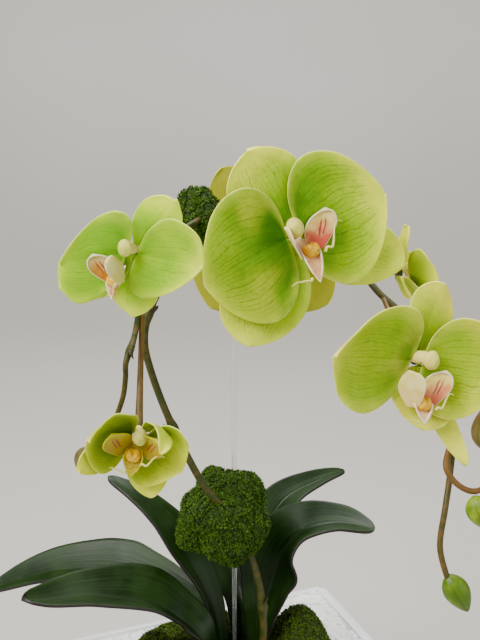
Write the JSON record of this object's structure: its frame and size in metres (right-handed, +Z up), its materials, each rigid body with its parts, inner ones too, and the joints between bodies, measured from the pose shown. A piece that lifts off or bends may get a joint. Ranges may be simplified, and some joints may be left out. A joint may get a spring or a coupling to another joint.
{
  "type": "potted orchid",
  "caption": "Live moth orchid with an arching spike of green flowers, buds, strap leaves, moss and a clear stake, built together with its square white planter.",
  "frame": {"origin": "centre of the planter's underside", "axes": "+Z up; X and Y along the planter's sides; the large centre flower looks towards -Y"},
  "size_m": [0.2724, 0.3208, 0.4972],
  "materials": {
    "white_glaze": "glossy white glaze",
    "foam": "dark open-celled planting foam",
    "white_gravel": "matte white stone chips",
    "moss": "soft living moss",
    "clear_acrylic": "polished clear acrylic rod",
    "spike_green": "satin plant stalk, dark olive green",
    "leaf_green": "waxy thick leaf, purple underside",
    "bud_green": "waxy bud skin",
    "petal_green": "soft waxy petal with fine veins",
    "lip_cream": "waxy cream lip with red marks",
    "column_cream": "waxy cream column"
  },
  "bodies": {
    "root": {"pot": "white_glaze", "growing_medium": "foam", "gravel": "white_gravel", "moss_bed": "moss", "stake": "clear_acrylic", "flower_spike": "spike_green", "side_branch": "spike_green", "moss_tuft_lower": "moss", "moss_tuft_upper": "moss", "leaf_near_left": "leaf_green", "leaf_far_left": "leaf_green", "leaf_upright_left": "leaf_green", "leaf_centre": "leaf_green", "leaf_upper_right": "leaf_green", "leaf_lower_right": "leaf_green", "bud_right_tip": "bud_green", "bud_right_side": "bud_green", "bud_left_tip": "bud_green", "centre_dorsal_sepal": "petal_green", "centre_left_lateral_sepal": "petal_green", "centre_right_lateral_sepal": "petal_green", "centre_left_petal": "petal_green", "centre_right_petal": "petal_green", "centre_lip": "lip_cream", "centre_column": "column_cream", "left_dorsal_sepal": "petal_green", "left_left_lateral_sepal": "petal_green", "left_right_lateral_sepal": "petal_green", "left_left_petal": "petal_green", "left_right_petal": "petal_green", "left_lip": "lip_cream", "left_column": "column_cream", "lower_left_dorsal_sepal": "petal_green", "lower_left_left_lateral_sepal": "petal_green", "lower_left_right_lateral_sepal": "petal_green", "lower_left_left_petal": "petal_green", "lower_left_right_petal": "petal_green", "lower_left_lip": "lip_cream", "lower_left_column": "column_cream", "right_dorsal_sepal": "petal_green", "right_left_lateral_sepal": "petal_green", "right_right_lateral_sepal": "petal_green", "right_left_petal": "petal_green", "right_right_petal": "petal_green", "right_lip": "lip_cream", "right_column": "column_cream", "rear_dorsal_sepal": "petal_green", "rear_left_lateral_sepal": "petal_green", "rear_right_lateral_sepal": "petal_green", "rear_left_petal": "petal_green", "rear_right_petal": "petal_green", "rear_lip": "lip_cream", "rear_column": "column_cream", "rear_right_dorsal_sepal": "petal_green", "rear_right_left_lateral_sepal": "petal_green", "rear_right_right_lateral_sepal": "petal_green", "rear_right_left_petal": "petal_green", "rear_right_right_petal": "petal_green", "rear_right_lip": "lip_cream", "rear_right_column": "column_cream"}
  },
  "joints": []
}
